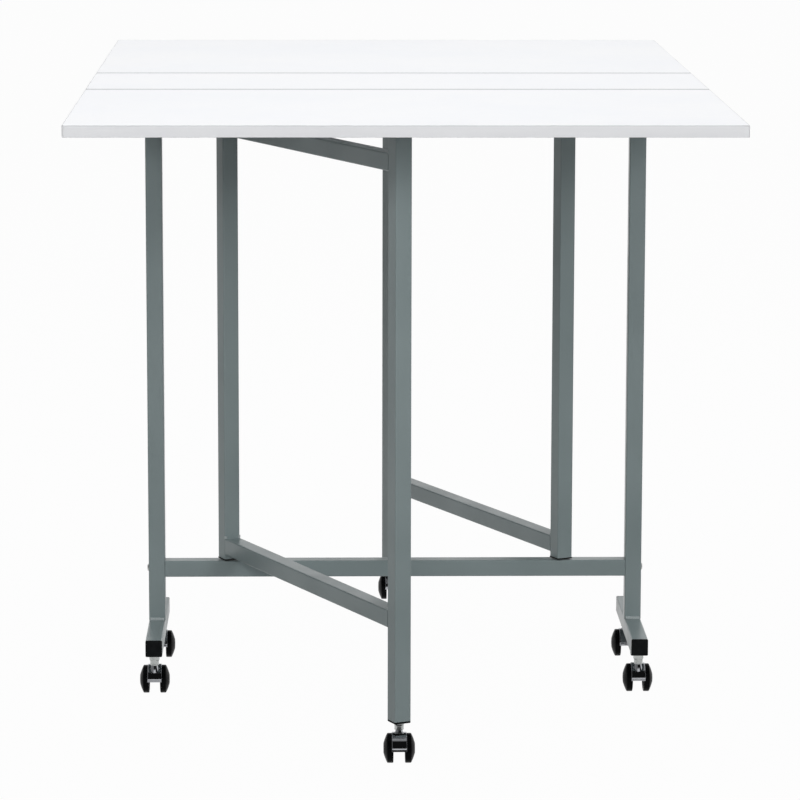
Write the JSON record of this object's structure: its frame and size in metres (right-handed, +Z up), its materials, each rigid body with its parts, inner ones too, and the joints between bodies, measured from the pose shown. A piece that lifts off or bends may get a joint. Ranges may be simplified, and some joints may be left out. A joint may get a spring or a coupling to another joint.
{
  "type": "folding sewing cutting table",
  "caption": "Drop-leaf sewing and cutting table: flat white hinged top on a grey square-tube frame with swing-out gate legs, rolling on twin-wheel casters.",
  "frame": {"origin": "on the floor, under the middle of the opened top", "axes": "+Z up, +Y from the front leaf to the rear leaf (the long way of the opened top), +X to the right of someone standing at the front leaf"},
  "size_m": [0.914, 1.507, 0.912],
  "materials": {
    "white_laminate": "satin white melamine on particle board",
    "grey_paint": "satin silver-grey powder coat on steel tube",
    "black_plug": "moulded black plastic",
    "black_wheel": "glossy black moulded nylon",
    "chrome_plate": "bright chrome plate",
    "zinc_steel": "zinc-plated steel",
    "nylon": "moulded black nylon"
  },
  "bodies": {
    "frame": {"centre_panel": "white_laminate", "left_side_leg": "grey_paint", "right_side_leg": "grey_paint", "left_foot_tube": "grey_paint", "right_foot_tube": "grey_paint", "lower_crossbar": "grey_paint", "upper_crossbar": "grey_paint", "foot_end_plugs": "black_plug", "crossbar_bolts_and_nuts": "zinc_steel", "pivot_pins": "zinc_steel", "foot_caster_stems": "chrome_plate", "hinge_pins": "zinc_steel", "centre_hinge_plates": "zinc_steel", "centre_panel_screws": "zinc_steel"},
    "front_leaf": {"front_leaf_panel": "white_laminate", "front_leaf_hinge_plates": "zinc_steel", "front_leaf_gate_stop": "black_plug", "front_leaf_screws": "zinc_steel"},
    "front_gate": {"front_gate_post": "grey_paint", "front_gate_upper_arm": "grey_paint", "front_gate_lower_arm": "grey_paint", "front_gate_leg": "grey_paint", "front_gate_leg_plugs": "black_plug", "front_gate_bushes": "nylon", "front_gate_caster_stem": "chrome_plate"},
    "rear_leaf": {"rear_leaf_panel": "white_laminate", "rear_leaf_hinge_plates": "zinc_steel", "rear_leaf_gate_stop": "black_plug", "rear_leaf_screws": "zinc_steel"},
    "rear_gate": {"rear_gate_post": "grey_paint", "rear_gate_upper_arm": "grey_paint", "rear_gate_lower_arm": "grey_paint", "rear_gate_leg": "grey_paint", "rear_gate_leg_plugs": "black_plug", "rear_gate_bushes": "nylon", "rear_gate_caster_stem": "chrome_plate"},
    "front_left_caster": {"front_left_caster_hood": "chrome_plate", "front_left_caster_axle": "zinc_steel"},
    "front_left_caster_left_wheel": {"front_left_caster_left_wheel": "black_wheel"},
    "front_left_caster_right_wheel": {"front_left_caster_right_wheel": "black_wheel"},
    "front_right_caster": {"front_right_caster_hood": "chrome_plate", "front_right_caster_axle": "zinc_steel"},
    "front_right_caster_left_wheel": {"front_right_caster_left_wheel": "black_wheel"},
    "front_right_caster_right_wheel": {"front_right_caster_right_wheel": "black_wheel"},
    "rear_left_caster": {"rear_left_caster_hood": "chrome_plate", "rear_left_caster_axle": "zinc_steel"},
    "rear_left_caster_left_wheel": {"rear_left_caster_left_wheel": "black_wheel"},
    "rear_left_caster_right_wheel": {"rear_left_caster_right_wheel": "black_wheel"},
    "rear_right_caster": {"rear_right_caster_hood": "chrome_plate", "rear_right_caster_axle": "zinc_steel"},
    "rear_right_caster_left_wheel": {"rear_right_caster_left_wheel": "black_wheel"},
    "rear_right_caster_right_wheel": {"rear_right_caster_right_wheel": "black_wheel"},
    "front_gate_caster": {"front_gate_caster_hood": "chrome_plate", "front_gate_caster_axle": "zinc_steel"},
    "front_gate_caster_left_wheel": {"front_gate_caster_left_wheel": "black_wheel"},
    "front_gate_caster_right_wheel": {"front_gate_caster_right_wheel": "black_wheel"},
    "rear_gate_caster": {"rear_gate_caster_hood": "chrome_plate", "rear_gate_caster_axle": "zinc_steel"},
    "rear_gate_caster_left_wheel": {"rear_gate_caster_left_wheel": "black_wheel"},
    "rear_gate_caster_right_wheel": {"rear_gate_caster_right_wheel": "black_wheel"}
  },
  "joints": [
    {"name": "front_gate_swing", "type": "hinge", "parent": "frame", "child": "front_gate", "pos_m": [-0.254, -0.0635, 0.5], "axis": [0, 0, 1], "range_deg": [0, 60.4]},
    {"name": "rear_gate_swing", "type": "hinge", "parent": "frame", "child": "rear_gate", "pos_m": [0.254, -0.0635, 0.5], "axis": [0, 0, 1], "range_deg": [0, 60.4]},
    {"name": "front_leaf_lift", "type": "hinge", "parent": "frame", "child": "front_leaf", "pos_m": [0, -0.2055, 0.8917], "axis": [-1, 0, 0], "range_deg": [0, 5]},
    {"name": "rear_leaf_lift", "type": "hinge", "parent": "frame", "child": "rear_leaf", "pos_m": [0, 0.0785, 0.8917], "axis": [1, 0, 0], "range_deg": [0, 5]},
    {"name": "front_left_caster_swivel", "type": "hinge", "parent": "frame", "child": "front_left_caster", "pos_m": [-0.364, -0.1905, 0.04], "axis": [0, 0, 1], "continuous": true},
    {"name": "front_left_caster_left_wheel_spin", "type": "hinge", "parent": "front_left_caster", "child": "front_left_caster_left_wheel", "pos_m": [-0.364, -0.1795, 0.021], "axis": [1, 0, 0], "continuous": true},
    {"name": "front_left_caster_right_wheel_spin", "type": "hinge", "parent": "front_left_caster", "child": "front_left_caster_right_wheel", "pos_m": [-0.364, -0.1795, 0.021], "axis": [1, 0, 0], "continuous": true},
    {"name": "front_right_caster_swivel", "type": "hinge", "parent": "frame", "child": "front_right_caster", "pos_m": [0.364, -0.1905, 0.04], "axis": [0, 0, 1], "continuous": true},
    {"name": "front_right_caster_left_wheel_spin", "type": "hinge", "parent": "front_right_caster", "child": "front_right_caster_left_wheel", "pos_m": [0.364, -0.1795, 0.021], "axis": [1, 0, 0], "continuous": true},
    {"name": "front_right_caster_right_wheel_spin", "type": "hinge", "parent": "front_right_caster", "child": "front_right_caster_right_wheel", "pos_m": [0.364, -0.1795, 0.021], "axis": [1, 0, 0], "continuous": true},
    {"name": "rear_left_caster_swivel", "type": "hinge", "parent": "frame", "child": "rear_left_caster", "pos_m": [-0.364, 0.0635, 0.04], "axis": [0, 0, 1], "continuous": true},
    {"name": "rear_left_caster_left_wheel_spin", "type": "hinge", "parent": "rear_left_caster", "child": "rear_left_caster_left_wheel", "pos_m": [-0.364, 0.0525, 0.021], "axis": [1, 0, 0], "continuous": true},
    {"name": "rear_left_caster_right_wheel_spin", "type": "hinge", "parent": "rear_left_caster", "child": "rear_left_caster_right_wheel", "pos_m": [-0.364, 0.0525, 0.021], "axis": [1, 0, 0], "continuous": true},
    {"name": "rear_right_caster_swivel", "type": "hinge", "parent": "frame", "child": "rear_right_caster", "pos_m": [0.364, 0.0635, 0.04], "axis": [0, 0, 1], "continuous": true},
    {"name": "rear_right_caster_left_wheel_spin", "type": "hinge", "parent": "rear_right_caster", "child": "rear_right_caster_left_wheel", "pos_m": [0.364, 0.0525, 0.021], "axis": [1, 0, 0], "continuous": true},
    {"name": "rear_right_caster_right_wheel_spin", "type": "hinge", "parent": "rear_right_caster", "child": "rear_right_caster_right_wheel", "pos_m": [0.364, 0.0525, 0.021], "axis": [1, 0, 0], "continuous": true},
    {"name": "front_gate_caster_swivel", "type": "hinge", "parent": "front_gate", "child": "front_gate_caster", "pos_m": [-0.00469, -0.58386, 0.04], "axis": [0, 0, 1], "continuous": true},
    {"name": "front_gate_caster_left_wheel_spin", "type": "hinge", "parent": "front_gate_caster", "child": "front_gate_caster_left_wheel", "pos_m": [-0.00469, -0.59486, 0.021], "axis": [1, 0, 0], "continuous": true},
    {"name": "front_gate_caster_right_wheel_spin", "type": "hinge", "parent": "front_gate_caster", "child": "front_gate_caster_right_wheel", "pos_m": [-0.00469, -0.59486, 0.021], "axis": [1, 0, 0], "continuous": true},
    {"name": "rear_gate_caster_swivel", "type": "hinge", "parent": "rear_gate", "child": "rear_gate_caster", "pos_m": [0.00469, 0.45686, 0.04], "axis": [0, 0, 1], "continuous": true},
    {"name": "rear_gate_caster_left_wheel_spin", "type": "hinge", "parent": "rear_gate_caster", "child": "rear_gate_caster_left_wheel", "pos_m": [0.00469, 0.46786, 0.021], "axis": [1, 0, 0], "continuous": true},
    {"name": "rear_gate_caster_right_wheel_spin", "type": "hinge", "parent": "rear_gate_caster", "child": "rear_gate_caster_right_wheel", "pos_m": [0.00469, 0.46786, 0.021], "axis": [1, 0, 0], "continuous": true}
  ]
}
